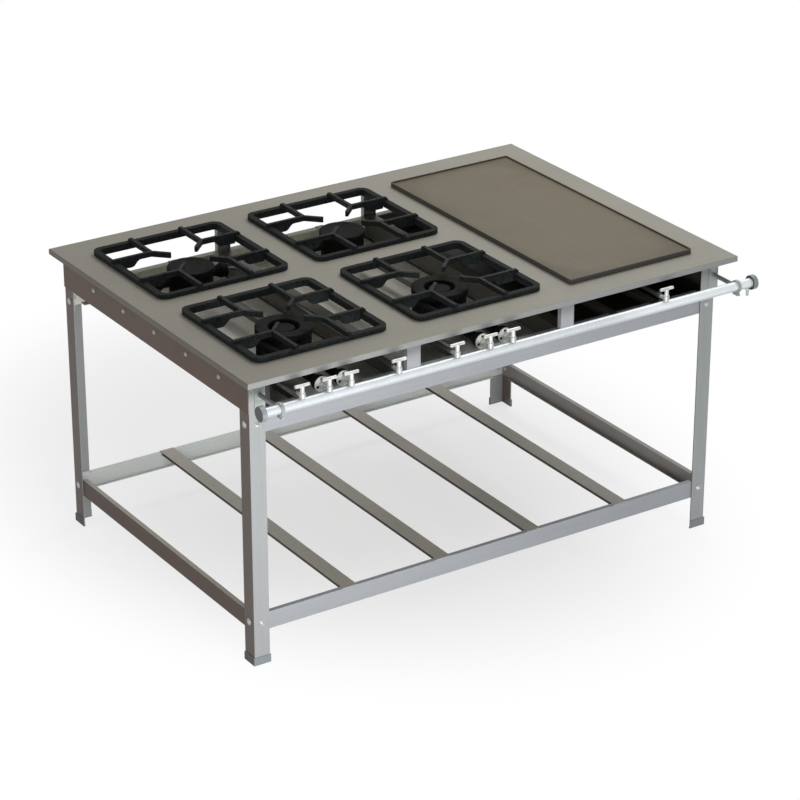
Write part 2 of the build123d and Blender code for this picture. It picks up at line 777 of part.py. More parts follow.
def make_back_burner(x, y, pipes):
    """A single cup burner with a mixing tube towards each supply pipe."""
    with BuildPart() as body:
        ring(x, y, base, base + burner_floor, back_body_radius, 0)
        ring(x, y, base, crown_seat, back_body_radius, back_body_radius - burner_wall)
        burner_ears(x, y, back_body_radius)
        for pipe in pipes:
            side = 1 if pipe > x else -1
            mouth = (pipe - side * pipe_bend, y, mixing_z)
            end = (x + side * (back_body_radius - burner_wall / 2), y, mixing_z)
            mixing_tube(mouth, end, (x + side * (back_body_radius - 2 * burner_wall), y, mixing_z))
    return body


front_y, back_y = row_y
for index, column in enumerate(("left", "middle")):
    x = column_x[index]
    finish(make_front_burner(x, front_y, column_taps[index]), f"burner_front_{column}")
    finish(make_crown(x, front_y), f"crown_front_{column}")
    finish(make_cap(x, front_y, inner_cap_radius, burner_top - centre_cap_drop, centre_bore_radius,
                    inner_slot_count), f"cap_front_{column}")
    finish(make_back_burner(x, back_y, column_pipes[index]), f"burner_back_{column}")
    finish(make_cap(x, back_y, back_burner_radius, burner_top, back_body_radius - burner_wall,
                    flame_slot_count),
           f"cap_back_{column}")

# Griddle burner: a mixing tube that feeds a cross pipe and two drilled bars
with BuildPart() as griddle_burner:
    cross_reach = griddle_rail_offset + griddle_bar_radius
    rod((griddle_x - cross_reach, griddle_cross_y, mixing_z),
        (griddle_x + cross_reach, griddle_cross_y, mixing_z), griddle_bar_radius)
    for side in (-1, 1):
        x = griddle_x + side * griddle_rail_offset
        rod((x, griddle_cross_y, mixing_z), (x, griddle_bar_end, mixing_z), griddle_bar_radius)
        for y in (griddle_cross_y + griddle_foot_inset, griddle_bar_end - griddle_foot_inset):
            rod((x, y, burner_rail_top), (x, y, mixing_z), griddle_foot_radius)
    for side in (-1, 1):
        x = griddle_x + side * griddle_rail_offset
        rod((x, griddle_cross_y, mixing_z), (x, griddle_bar_end - burner_wall, mixing_z), griddle_bar_bore,
            Mode.SUBTRACT)
        ports = int((griddle_bar_end - griddle_cross_y - griddle_foot_inset) / port_pitch)
        with Locations(*[(x, griddle_cross_y + griddle_foot_inset / 2 + n * port_pitch, mixing_z)
                         for n in range(ports)]):
            Cylinder(port_radius, 2 * griddle_bar_radius, align=(Align.CENTER, Align.CENTER, Align.MIN),
                     mode=Mode.SUBTRACT)
    rod((griddle_x - griddle_rail_offset, griddle_cross_y, mixing_z),
        (griddle_x + griddle_rail_offset, griddle_cross_y, mixing_z), griddle_bar_bore, Mode.SUBTRACT)
    mixing_tube((griddle_tap, griddle_burner_front, mixing_z), (griddle_tap, griddle_cross_y, mixing_z),
                (griddle_tap, griddle_cross_y, mixing_z))
finish(griddle_burner, "griddle_burner")

# Manifold tube, drilled on top for each tap and underneath for the hose nozzle
nozzle_x = manifold_ends[1] - nozzle_inset
with BuildPart() as manifold_tube:
    start = (manifold_ends[0], manifold_y, manifold_z)
    end = (manifold_ends[1], manifold_y, manifold_z)
    rod(start, end, manifold_radius)
    rod((manifold_ends[0] - overrun, manifold_y, manifold_z),
        (manifold_ends[1] + overrun, manifold_y, manifold_z), manifold_radius - manifold_wall, Mode.SUBTRACT)
    for x in tap_places:
        rod((x, manifold_y, manifold_z), (x, manifold_y, manifold_top + overrun),
            tap_spigot_radius + tap_spigot_clearance, Mode.SUBTRACT)
    rod((nozzle_x, manifold_y, manifold_z - manifold_radius - overrun), (nozzle_x, manifold_y, manifold_z),
        nozzle_radius + tap_spigot_clearance, Mode.SUBTRACT)
finish(manifold_tube, "manifold_tube")

# Manifold end caps
with BuildPart() as manifold_caps:
    for x, side in zip(manifold_ends, (-1, 1)):
        outer = x + side * end_cap_wall
        inner = outer - side * end_cap_depth
        rod((inner, manifold_y, manifold_z), (outer, manifold_y, manifold_z), cap_radius)
    rims = manifold_caps.faces().filter_by(Axis.X).edges().filter_by(GeomType.CIRCLE)
    fillet(rims, radius=end_cap_wall / 4)
    for x, side in zip(manifold_ends, (-1, 1)):
        inner = x + side * (end_cap_wall - end_cap_depth - overrun)
        rod((inner, manifold_y, manifold_z), (x, manifold_y, manifold_z), manifold_radius + clamp_clearance,
            Mode.SUBTRACT)
finish(manifold_caps, "manifold_caps")

# Hose nozzle: a barbed spigot under the right end of the manifold
with BuildPart() as hose_nozzle:
    seat = manifold_z - manifold_radius
    rod((nozzle_x, manifold_y, seat - nozzle_length), (nozzle_x, manifold_y, seat + manifold_wall),
        nozzle_radius)
    rod((nozzle_x, manifold_y, seat - nozzle_collar_height), (nozzle_x, manifold_y, seat - clamp_clearance),
        nozzle_collar)
    for barb in range(nozzle_barb_count):
        with Locations((nozzle_x, manifold_y, seat - nozzle_length + barb * nozzle_barb_pitch)):
            Cone(nozzle_radius - nozzle_barb / 2, nozzle_radius + nozzle_barb, nozzle_radius,
                 align=(Align.CENTER, Align.CENTER, Align.MIN))
    rod((nozzle_x, manifold_y, seat - nozzle_length - overrun), (nozzle_x, manifold_y, seat + overrun),
        nozzle_bore, Mode.SUBTRACT)
finish(hose_nozzle, "hose_nozzle")

# Manifold brackets: a plate on each front leg with a round arm to the clamp
with BuildPart() as manifold_brackets:
    for x in bracket_places:
        block((x - bracket_width / 2, leg_front_y - bracket_sheet, bracket_bottom),
              (x + bracket_width / 2, leg_front_y, bracket_bottom + bracket_height))
        rod((x, leg_front_y - bracket_sheet, manifold_z), (x, manifold_y + clamp_radius, manifold_z),
            bracket_arm_radius)
finish(manifold_brackets, "manifold_brackets")

# Clamps: a split ring round the tube with a screwed tab below
with BuildPart() as manifold_clamps:
    for x in bracket_places:
        low = x - clamp_width / 2
        high = x + clamp_width / 2
        rod((low, manifold_y, manifold_z), (high, manifold_y, manifold_z), clamp_radius)
        # A flat pad meets the end of the bracket's arm
        pad_front = manifold_y + (manifold_radius + clamp_radius) / 2
        block((low, pad_front, manifold_z - clamp_pad / 2),
              (high, manifold_y + clamp_radius, manifold_z + clamp_pad / 2))
        tab_bottom = manifold_z - clamp_radius - clamp_tab_drop
        block((low, manifold_y - clamp_tab_width, tab_bottom),
              (high, manifold_y + clamp_tab_width, manifold_z))
        block((low - overrun, manifold_y - clamp_gap / 2, tab_bottom - overrun),
              (high + overrun, manifold_y + clamp_gap / 2, manifold_z), Mode.SUBTRACT)
        rod((low - overrun, manifold_y, manifold_z), (high + overrun, manifold_y, manifold_z),
            manifold_radius + clamp_clearance, Mode.SUBTRACT)
        screw_z = tab_bottom + clamp_tab_drop / 2
        rod((x, manifold_y - clamp_tab_width - clamp_screw_head, screw_z),
            (x, manifold_y - clamp_tab_width, screw_z), clamp_screw_head)
        rod((x, manifold_y - clamp_tab_width, screw_z), (x, manifold_y + clamp_tab_width, screw_z),
            clamp_screw_radius)
        rod((x, manifold_y + clamp_tab_width, screw_z),
            (x, manifold_y + clamp_tab_width + clamp_screw_head, screw_z), clamp_screw_head)
finish(manifold_clamps, "manifold_clamps")

# Tap bodies, screwed into the manifold, each with an outlet towards the back
with BuildPart() as tap_bodies:
    outlet_end = manifold_y + tap_radius + outlet_length
    for x in tap_places:
        rod((x, manifold_y, manifold_top - manifold_wall), (x, manifold_y, tap_top), tap_spigot_radius)
        rod((x, manifold_y, manifold_top + clamp_clearance), (x, manifold_y, tap_top), tap_radius)
        rod((x, manifold_y, mixing_z), (x, outlet_end, mixing_z), outlet_radius)
        if x in front_feed_taps:
            rod((x, outlet_end, mixing_z), (x, jet_end_y, mixing_z), jet_radius)
            rod((x, jet_end_y - jet_bore_depth, mixing_z), (x, jet_end_y + overrun, mixing_z), jet_bore,
                Mode.SUBTRACT)
        rod((x, manifold_y, tap_top - spindle_length - spindle_end_gap), (x, manifold_y, tap_top + overrun),
            spindle_radius + spindle_clearance, Mode.SUBTRACT)
finish(tap_bodies, "tap_bodies")


def make_handle(x):
    """A T-handle with its spindle, which turns in the tap body."""
    with BuildPart() as handle:
        rod((x, manifold_y, tap_top - spindle_length), (x, manifold_y, tap_top), spindle_radius)
        rod((x, manifold_y, tap_top), (x, manifold_y, handle_z), stem_radius)
        rod((x - handle_bar_length / 2, manifold_y, handle_z),
            (x + handle_bar_length / 2, manifold_y, handle_z), handle_bar_radius)
        tips = handle.faces().filter_by(Axis.X).edges()
        fillet(tips, radius=handle_rounding)
    return handle


for number, x in enumerate(tap_places, start=1):
    finish(make_handle(x), f"tap_handle_{number}")


def make_shutter(x):
    """A drilled disc on the jet that opens or closes the air holes of a mixing tube's mouth."""
    front = mouth_y - shutter_gap - shutter_sheet
    with BuildPart() as shutter:
        rod((x, front, mixing_z), (x, front + shutter_sheet, mixing_z), mouth_radius)
        rod((x, front - shutter_rim, mixing_z), (x, front, mixing_z), shutter_rim_radius)
        rod((x, front - shutter_rim - overrun, mixing_z), (x, mouth_y, mixing_z),
            jet_radius + spindle_clearance, Mode.SUBTRACT)
        for hole in range(air_hole_count):
            turn = math.radians(360 / air_hole_count * hole + 90)
            across = x + air_hole_circle * math.cos(turn)
            up = mixing_z + air_hole_circle * math.sin(turn)
            rod((across, front - overrun, up), (across, mouth_y, up), air_hole_radius, Mode.SUBTRACT)
    return shutter


for number, x in enumerate(front_feed_taps, start=1):
    finish(make_shutter(x), f"air_shutter_{number}")

# Supply pipes from the taps that have no mixing tube of their own
with BuildPart() as supply_pipes:
    pipe_start = manifold_y + tap_radius + outlet_length
    runs = []
    for index, pipes in enumerate(column_pipes):
        for x in pipes:
            side = 1 if x < column_x[index] else -1
            runs.append([(x, pipe_start, mixing_z), (x, back_y, mixing_z),
                         (x + side * (pipe_bend - pipe_mouth_gap), back_y, mixing_z)])
    griddle_pipe_end = griddle_burner_front - pipe_mouth_gap
    runs.append([(griddle_tap, pipe_start, mixing_z), (griddle_tap, griddle_pipe_end, mixing_z)])
    for run in runs:
        with BuildLine() as path:
            if len(run) > 2:
                FilletPolyline(*run, radius=pipe_bend - 2 * pipe_mouth_gap)
            else:
                Line(*run)
        with BuildSketch(Plane(origin=run[0], z_dir=(0, 1, 0))):
            Circle(pipe_radius)
            Circle(pipe_radius - pipe_wall, mode=Mode.SUBTRACT)
        sweep(path=path.wires()[0])
        with BuildSketch(Plane(origin=run[0], z_dir=(0, 1, 0))):
            RegularPolygon(union_radius, 6)
            Circle(pipe_radius - pipe_wall, mode=Mode.SUBTRACT)
        extrude(amount=union_length)
finish(supply_pipes, "supply_pipes")

os.makedirs("parts", exist_ok=True)
for name, piece in pieces.items():
    export_step(piece.part, f"parts/{name}.step")
print(len(pieces), "pieces; the table's middle lies at", (-middle_x, -middle_y))
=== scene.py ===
"""Looks of the industrial gas stove: finishes, small fittings, floor, light and camera."""

import logging
import math
from dataclasses import dataclass
from enum import Enum
from typing import Any, Sequence

import bpy
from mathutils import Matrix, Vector


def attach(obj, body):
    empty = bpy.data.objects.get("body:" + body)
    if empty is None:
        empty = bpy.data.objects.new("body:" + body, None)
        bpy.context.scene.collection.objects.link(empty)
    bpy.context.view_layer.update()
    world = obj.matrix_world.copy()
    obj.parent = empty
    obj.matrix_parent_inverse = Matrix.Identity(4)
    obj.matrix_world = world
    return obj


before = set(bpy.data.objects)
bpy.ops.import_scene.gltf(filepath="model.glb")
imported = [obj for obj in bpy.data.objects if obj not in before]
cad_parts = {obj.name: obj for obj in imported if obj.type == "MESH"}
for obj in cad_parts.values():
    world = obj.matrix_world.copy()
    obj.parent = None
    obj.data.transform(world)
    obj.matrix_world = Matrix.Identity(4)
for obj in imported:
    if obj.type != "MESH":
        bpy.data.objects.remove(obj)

Colour = tuple[float, float, float]
Point = tuple[float, float, float]
log = logging.getLogger("gas_stove")

# The middle of the table top in the model's frame, in metres
TOP_X, TOP_Y = -0.01075, 0.03225
# The legs' outer corners, from the top's middle
LEG_X, LEG_FRONT, LEG_BACK = 0.711, -0.463, 0.495
# What the burners' places are called, from left to right and from front to back
COLUMNS = ("left", "middle")
ROWS = ("front", "back")
WHITE: Colour = (1.0, 1.0, 1.0)


class Grain(Enum):
    """The way that a sheet's brushing runs, as noise scales for a metre along X, Y and Z."""

    ALONG_X = (7.0, 1100.0, 1100.0)
    ALONG_Y = (1100.0, 7.0, 1100.0)
    ALONG_Z = (1100.0, 1100.0, 7.0)


def at(x: float, y: float, z: float) -> Point:
    """Return a place given from the table top's middle, in the model's frame."""
    return (x + TOP_X, y + TOP_Y, z)


def toned(colour: Colour, factor: float) -> Colour:
    """Return a colour made darker or lighter, with no part over 1."""
    red, green, blue = (min(part * factor, 1.0) for part in colour)
    return (red, green, blue)


class Socket:
    """A socket in a node tree that takes part in sums."""

    def __init__(self, tree: "NodeTree", socket: bpy.types.NodeSocket | None) -> None:
        """Wrap one output socket of a tree."""
        self.tree = tree
        self.socket = socket

    def _math(self, operation: str, *terms: Any) -> "Socket":
        """Add one Math node.

        Args:
            operation: The Math node's operation.
            terms: Its values or sockets, in order.

        Returns:
            The node's result.
        """
        return self.tree.node("ShaderNodeMath", {"operation": operation}, dict(enumerate(terms)))

    def __add__(self, other: Any) -> "Socket":
        """Return this plus the other."""
        return self._math("ADD", self, other)

    def __radd__(self, other: Any) -> "Socket":
        """Return the other plus this."""
        return self._math("ADD", other, self)

    def __sub__(self, other: Any) -> "Socket":
        """Return this minus the other."""
        return self._math("SUBTRACT", self, other)

    def __rsub__(self, other: Any) -> "Socket":
        """Return the other minus this."""
        return self._math("SUBTRACT", other, self)

    def __mul__(self, other: Any) -> "Socket":
        """Return this times the other."""
        return self._math("MULTIPLY", self, other)

    def __rmul__(self, other: Any) -> "Socket":
        """Return the other times this."""
        return self._math("MULTIPLY", other, self)

    def __neg__(self) -> "Socket":
        """Return this with its sign turned."""
        return 0.0 - self

    def __gt__(self, other: Any) -> "Socket":
        """Return 1 where this is above the other, else 0."""
        return self._math("GREATER_THAN", self, other)

    def __lt__(self, other: Any) -> "Socket":
        """Return 1 where this is below the other, else 0."""
        return self._math("LESS_THAN", self, other)

    def __abs__(self) -> "Socket":
        """Return this without its sign."""
        return self._math("ABSOLUTE", self)

    def step(self, low: float, high: float) -> "Socket":
        """Rise smoothly from 0 at the low value to 1 at the high one.

        Args:
            low: Where the rise starts.
            high: Where it ends.

        Returns:
            The eased value.
        """
        return self.tree.node("ShaderNodeMapRange", {"interpolation_type": "SMOOTHSTEP"},
                              {"Value": self, "From Min": low, "From Max": high})


class NodeTree:
    """A node tree and the one method that makes its nodes."""

    def __init__(self, tree: bpy.types.NodeTree) -> None:
        """Start with an empty tree."""
        self.tree = tree
        tree.nodes.clear()

    def node(self, kind: str, settings: dict[str, Any] | None = None,
             inputs: dict[Any, Any] | None = None, output: int | str = 0) -> Socket:
        """Make a node.

        Args:
            kind: The node's type.
            settings: Its own settings, set first.
            inputs: Values or sockets for its inputs, by name or number.
            output: Which output to return.

        Returns:
            The chosen output.
        """
        made = self.tree.nodes.new(kind)
        for name, value in (settings or {}).items():
            setattr(made, name, value)
        for name, value in (inputs or {}).items():
            target = made.inputs[name]
            if isinstance(value, Socket):
                self.tree.links.new(value.socket, target)
            elif target.type == "RGBA":
                target.default_value = (*value, 1.0)
            else:
                target.default_value = value
        return Socket(self, made.outputs[output] if made.outputs else None)

    def blend(self, factor: Socket, first: Any, second: Any) -> Socket:
        """Blend two colours.

        Args:
            factor: 0 gives the first colour and 1 the second.
            first: A colour or its socket.
            second: A colour or its socket.

        Returns:
            The blended colour.
        """
        return self.node("ShaderNodeMix", {"data_type": "RGBA"}, {0: factor, 6: first, 7: second}, 2)


class ShaderTree(NodeTree):
    """A material's tree with its coordinates and its usual patterns."""

    def __init__(self, name: str) -> None:
        """Make a material of this name."""
        self.material = bpy.data.materials.new(name)
        self.material.use_nodes = True
        super().__init__(self.material.node_tree)
        self.place = self.node("ShaderNodeTexCoord", output="Object")

    def axis(self, letter: str) -> Socket:
        """Return one object coordinate in metres."""
        return self.node("ShaderNodeSeparateXYZ", None, {0: self.place}, letter)

    def facing(self, letter: str) -> Socket:
        """Return one part of the surface's outward way."""
        way = self.node("ShaderNodeNewGeometry", output="Normal")
        return self.node("ShaderNodeSeparateXYZ", None, {0: way}, letter)

    def noise(self, scale: float, detail: float = 3.0, rough: float = 0.55) -> Socket:
        """Make a noise pattern.

        Args:
            scale: Its scale for a metre.
            detail: How many finer layers it has.
            rough: How strong the finer layers are.

        Returns:
            A value between 0 and 1, near 0.5.
        """
        return self._noise(self.place, scale, detail, rough)

    def streaks(self, scales: Sequence[float], detail: float = 3.0, rough: float = 0.55) -> Socket:
        """Make a noise pattern that is stretched along one axis.

        Args:
            scales: Its scales for a metre along X, Y and Z.
            detail: How many finer layers it has.
            rough: How strong the finer layers are.

        Returns:
            A value between 0 and 1, near 0.5.
        """
        place = self.node("ShaderNodeMapping", None, {"Vector": self.place, "Scale": tuple(scales)})
        return self._noise(place, 1.0, detail, rough)

    def _noise(self, place: Socket, scale: float, detail: float, rough: float) -> Socket:
        """Make one Noise Texture node.

        Args:
            place: Where to read it.
            scale: Its scale there.
            detail: How many finer layers it has.
            rough: How strong the finer layers are.

        Returns:
            A value between 0 and 1, near 0.5.
        """
        return self.node("ShaderNodeTexNoise", None,
                         {"Vector": place, "Scale": scale, "Detail": detail, "Roughness": rough}, "Fac")

    def cells(self, scale: float) -> Socket:
        """Return the distance pattern of cells at this scale for a metre."""
        return self.node("ShaderNodeTexVoronoi", None, {"Vector": self.place, "Scale": scale}, "Distance")

    def surface(self, colour: Socket, rough: Socket, metal: float, height: Socket, depth: float,
                bump: float, specular: float) -> bpy.types.Material:
        """Close the tree with one Principled surface.

        Args:
            colour: The base colour.
            rough: The roughness.
            metal: How metallic it is.
            height: The height pattern, from 0 to 1.
            depth: How deep that pattern is, in metres.
            bump: How strongly it shows.
            specular: The specular level.

        Returns:
            The finished material.
        """
        normal = self.node("ShaderNodeBump", None,
                           {"Height": height, "Distance": depth, "Strength": bump}, "Normal")
        shader = self.node("ShaderNodeBsdfPrincipled", None,
                           {"Base Color": colour, "Roughness": rough, "Metallic": metal,
                            "Specular IOR Level": specular, "Normal": normal}, "BSDF")
        self.node("ShaderNodeOutputMaterial", None, {"Surface": shader})
        return self.material


@dataclass(frozen=True)
class BrushedSteel:
    """Stainless sheet with fine brushing, smears and a few dull stains."""

    name: str
    colour: Colour
    grain: Grain
    rough: float = 0.38
    metal: float = 0.35
    stain: float = 0.16
    # Painted shade darkens the faces that look left this much towards the first colour, and painted light
    # gives those that look forward the second colour
    left_shade: float = 0.0
    left_shade_colour: Colour = (0.070, 0.042, 0.028)
    front: Colour | None = None
    # Painted shade darkens the sheet before the first Y, fading out by the second, and outside two X values
    shaded_before: tuple[float, float] | None = None
    shaded_outside: tuple[float, float] | None = None
    spot_brown: Colour = (0.16, 0.12, 0.08)
    relief: float = 0.00006

    def build(self) -> bpy.types.Material:
        """Return the finished material."""
        tree = ShaderTree(self.name)
        fine = tree.streaks(self.grain.value, rough=0.6)
        broad = tree.streaks([scale / 9 for scale in self.grain.value], detail=2.0)
        cloud = tree.noise(2.6, detail=4.0, rough=0.6)
        spots = tree.noise(46.0, detail=2.0).step(0.64, 0.76)
        brushing = (fine * 0.75 + broad * 0.25).step(0.36, 0.64)
        colour = tree.blend(brushing, toned(self.colour, 0.95), toned(self.colour, 1.05))
        colour = tree.blend(cloud.step(0.42, 0.70) * self.stain, colour, toned(self.colour, 0.62))
        colour = tree.blend(spots * (self.stain * 0.5), colour, self.spot_brown)
        # Painted light: the faces that look forward are lightened towards the front colour
        if self.front:
            colour = tree.blend((-tree.facing("Y")).step(0.5, 0.9) * 0.85, colour, self.front)
        # Painted shade: the faces that look left are darkened
        if self.left_shade:
            left_shaded = (-tree.facing("X")).step(0.4, 0.9) * self.left_shade
            colour = tree.blend(left_shaded, colour, self.left_shade_colour)
        # Painted shade: the sheet is darkened before a Y value
        if self.shaded_before:
            front_shade = 1.0 - tree.axis("Y").step(*self.shaded_before)
            colour = tree.blend(front_shade, colour, toned(self.colour, 0.30))
        # Painted shade: the sheet is darkened outside two X values
        if self.shaded_outside:
            left, right = self.shaded_outside
            burnt_and_shaded = (tree.axis("X") < left) + (tree.axis("X") > right)
            colour = tree.blend(burnt_and_shaded, colour, toned(self.colour, 0.05))
        rough = self.rough + (fine - 0.5) * 0.10 + cloud * 0.10 + spots * 0.08
        return tree.surface(colour, rough, self.metal, fine, self.relief, bump=0.15, specular=0.35)


@dataclass(frozen=True)
class CastIron:
    """Sand-cast iron: grainy, nearly black, with a little rust."""

    name: str
    colour: Colour
    rust: float = 0.05
    rough: float = 0.62
    # The height above which use has rubbed the iron bare, and the painted light colour of its upright faces
    rubbed_above: float | None = None
    upright_light: Colour | None = None
    rust_brown: Colour = (0.16, 0.075, 0.035)
    bare_grey: Colour = (0.045, 0.045, 0.044)
    rub_depth: float = 0.0006
    relief: float = 0.0006

    def build(self) -> bpy.types.Material:
        """Return the finished material."""
        tree = ShaderTree(self.name)
        grit = tree.noise(900.0, detail=4.0, rough=0.65)
        lumps = tree.noise(120.0)
        cloud = tree.noise(9.0, detail=4.0)
        colour = tree.blend(lumps.step(0.35, 0.7), toned(self.colour, 0.75), toned(self.colour, 1.3))
        rusty = cloud.step(0.52, 0.74) * grit.step(0.35, 0.6) * self.rust
        colour = tree.blend(rusty, colour, self.rust_brown)
        rough = self.rough + (grit - 0.5) * 0.2 + rusty * 0.3
        # Painted light: the upright faces are lightened
        if self.upright_light:
            lit_wall = 1.0 - abs(tree.facing("Z")).step(0.3, 0.8)
            colour = tree.blend(lit_wall * lumps.step(0.15, 0.6), colour, self.upright_light)
        if self.rubbed_above is not None:
            high = tree.axis("Z").step(self.rubbed_above - self.rub_depth, self.rubbed_above)
            rubbed = high * lumps.step(0.30, 0.62)
            colour = tree.blend(rubbed * 0.35, colour, self.bare_grey)
            rough = rough - rubbed * 0.12
        height = grit * 0.7 + lumps * 0.3
        return tree.surface(colour, rough, 0.0, height, self.relief, bump=0.45, specular=0.07)


@dataclass(frozen=True)
class SeasonedPlate:
    """The griddle's ground steel, browned by oil, with scraper marks and burnt walls."""

    name: str
    colour: Colour
    # The middle of the cooking face and half its width and depth, in metres
    middle: tuple[float, float]
    half_width: float = 0.196
    half_depth: float = 0.423
    burnt_grey: Colour = (0.110, 0.107, 0.095)
    relief: float = 0.0001

    def build(self) -> bpy.types.Material:
        """Return the finished material."""
        tree = ShaderTree(self.name)
        ground = tree.streaks((7.0, 900.0, 900.0), rough=0.6)
        scraped = tree.streaks((150.0, 1.6, 150.0)).step(0.60, 0.74)
        oil = tree.noise(4.0, detail=5.0, rough=0.6)
        colour = tree.blend(ground.step(0.3, 0.7), toned(self.colour, 0.93), toned(self.colour, 1.07))
        colour = tree.blend(oil.step(0.45, 0.75) * 0.30, colour, toned(self.colour, 0.6))
        across = (tree.axis("X") - self.middle[0]) * (1 / self.half_width)
        along = (tree.axis("Y") - self.middle[1]) * (1 / self.half_depth)
        # Painted shade: the cooking face darkens towards its edges
        edge_shade = (across * across * across * across + along * along * along * along).step(0.55, 1.1)
        colour = tree.blend(edge_shade * 0.35, colour, toned(self.colour, 0.45))
        colour = tree.blend(scraped * 0.14, colour, toned(self.colour, 1.6))
        outside = (abs(across) > 0.992) + (abs(along) > 0.996)
        burnt_and_shaded = (outside > 0.5) * (abs(tree.facing("Z")) < 0.7)
        colour = tree.blend(burnt_and_shaded, colour, self.burnt_grey)
        rough = 0.42 + oil * 0.12 - scraped * 0.06 + (ground - 0.5) * 0.10 + burnt_and_shaded * 0.15
        height = ground * 0.6 + scraped * 0.4
        return tree.surface(colour, rough, 0.1, height, self.relief, bump=0.18, specular=0.15)


@dataclass(frozen=True)
class ZincTube:
    """Galvanised tube under silver paint, with faint spangle and runs."""

    name: str
    colour: Colour
    rough: float
    metal: float
    # Painted light: the lighter colour at the right end, and the X values between which the tube turns into
    # it
    right: Colour | None = None
    right_light_from: tuple[float, float] = (0.24, 0.44)
    relief: float = 0.00004

    def build(self) -> bpy.types.Material:
        """Return the finished material."""
        tree = ShaderTree(self.name)
        spangle = tree.cells(160.0)
        cloud = tree.noise(14.0)
        runs = tree.streaks((5.0, 420.0, 420.0))
        colour = tree.blend(spangle.step(0.15, 0.75), toned(self.colour, 1.02), toned(self.colour, 0.96))
        colour = tree.blend(cloud.step(0.50, 0.78) * 0.16, colour, toned(self.colour, 0.6))
        # Painted light: the tube lightens towards its right end
        if self.right:
            colour = tree.blend(tree.axis("X").step(*self.right_light_from), colour, self.right)
        # Painted shade: the tube darkens on its underside
        underside_shade = (-tree.facing("Z")).step(-0.15, 0.55)
        colour = tree.blend(underside_shade * 0.55, colour, toned(self.colour, 0.42))
        rough = self.rough + spangle * 0.04 + (runs - 0.5) * 0.06
        height = runs * 0.5 + spangle * 0.5
        return tree.surface(colour, rough, self.metal, height, self.relief, bump=0.1, specular=0.5)


@dataclass(frozen=True)
class CastFitting:
    """A small cast or turned metal fitting with a grainy skin."""

    name: str
    colour: Colour
    rough: float
    metal: float
    grit_depth: float = 0.0002
    # Painted shade: the darker colour of the faces that look left
    left: Colour | None = None

    def build(self) -> bpy.types.Material:
        """Return the finished material."""
        tree = ShaderTree(self.name)
        grit = tree.noise(1400.0, rough=0.6)
        cloud = tree.noise(60.0)
        grime = tree.noise(28.0, detail=4.0).step(0.54, 0.76)
        colour = tree.blend(cloud.step(0.3, 0.7), toned(self.colour, 0.82), toned(self.colour, 1.12))
        colour = tree.blend(grime * 0.30, colour, toned(self.colour, 0.42))
        # Painted shade: the faces that look left are darkened
        if self.left:
            colour = tree.blend((-tree.facing("X")).step(0.5, 0.9), colour, self.left)
        rough = self.rough + (grit - 0.5) * 0.16 + grime * 0.16
        height = grit * 0.6 + cloud * 0.4
        return tree.surface(colour, rough, self.metal, height, self.grit_depth, bump=0.3, specular=0.5)


Finish = BrushedSteel | CastIron | SeasonedPlate | ZincTube | CastFitting


class ShapeTree(NodeTree):
    """A Geometry Nodes tree with named inputs that sets a shape on points."""

    def __init__(self, name: str, sizes: dict[str, float]) -> None:
        """Make a tree.

        Args:
            name: The tree's name.
            sizes: Its named inputs in metres or counts, with their values.
        """
        self.group = bpy.data.node_groups.new(name, "GeometryNodeTree")
        super().__init__(self.group)
        panel = self.group.interface
        panel.new_socket("Geometry", in_out="INPUT", socket_type="NodeSocketGeometry")
        self.sizes = sizes
        self.keys: dict[str, str] = {}
        for label, value in sizes.items():
            kind = "NodeSocketInt" if isinstance(value, int) else "NodeSocketFloat"
            self.keys[label] = panel.new_socket(label, in_out="INPUT", socket_type=kind).identifier
        panel.new_socket("Geometry", in_out="OUTPUT", socket_type="NodeSocketGeometry")
        self.entry = self.group.nodes.new("NodeGroupInput")

    def given(self, label: str) -> Socket:
        """Return one of the tree's own inputs."""
        return Socket(self, self.entry.outputs[label])

    def close(self, shape: Socket, material: bpy.types.Material, turn: Socket | None = None) -> None:
        """End the tree with one copy of the shape on each point.

        Args:
            shape: The shape to copy.
            material: The finish of all copies.
            turn: How each copy is turned.
        """
        inputs = {"Points": self.given("Geometry"), "Instance": shape}
        if turn is not None:
            inputs["Rotation"] = turn
        copies = self.node("GeometryNodeInstanceOnPoints", None, inputs)
        real = self.node("GeometryNodeRealizeInstances", None, {0: copies})
        dressed = self.node("GeometryNodeSetMaterial", None, {"Geometry": real, "Material": material})
        self.node("NodeGroupOutput", None, {0: dressed})

    def apply(self, name: str, points: Sequence[Point], ways: Sequence[Point], body: str,
              slot: str) -> None:
        """Run the tree on points that carry a way each, and keep the result as a plain mesh.

        Args:
            name: The piece's name.
            points: Where each copy goes, in metres.
            ways: The outward way of each copy.
            body: The body that the piece rides on.
            slot: Not used.
        """
        mesh = bpy.data.meshes.new(name + "_points")
        mesh.from_pydata(points, [], [])
        way = mesh.attributes.new("way", "FLOAT_VECTOR", "POINT")
        way.data.foreach_set("vector", [part for each in ways for part in each])
        carrier = bpy.data.objects.new(name + "_points", mesh)
        bpy.context.scene.collection.objects.link(carrier)
        modifier = carrier.modifiers.new(name, "NODES")
        modifier.node_group = self.group
        for label, key in self.keys.items():
            modifier[key] = self.sizes[label]
        bpy.context.view_layer.update()
        graph = bpy.context.evaluated_depsgraph_get()
        result = bpy.data.meshes.new_from_object(carrier.evaluated_get(graph), depsgraph=graph)
        result.name = name
        bpy.data.objects.remove(carrier)
        piece = bpy.data.objects.new(name, result)
        bpy.context.scene.collection.objects.link(piece)
        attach(piece, body)
        log.info("%s: %d faces on %s", name, len(result.polygons), body)


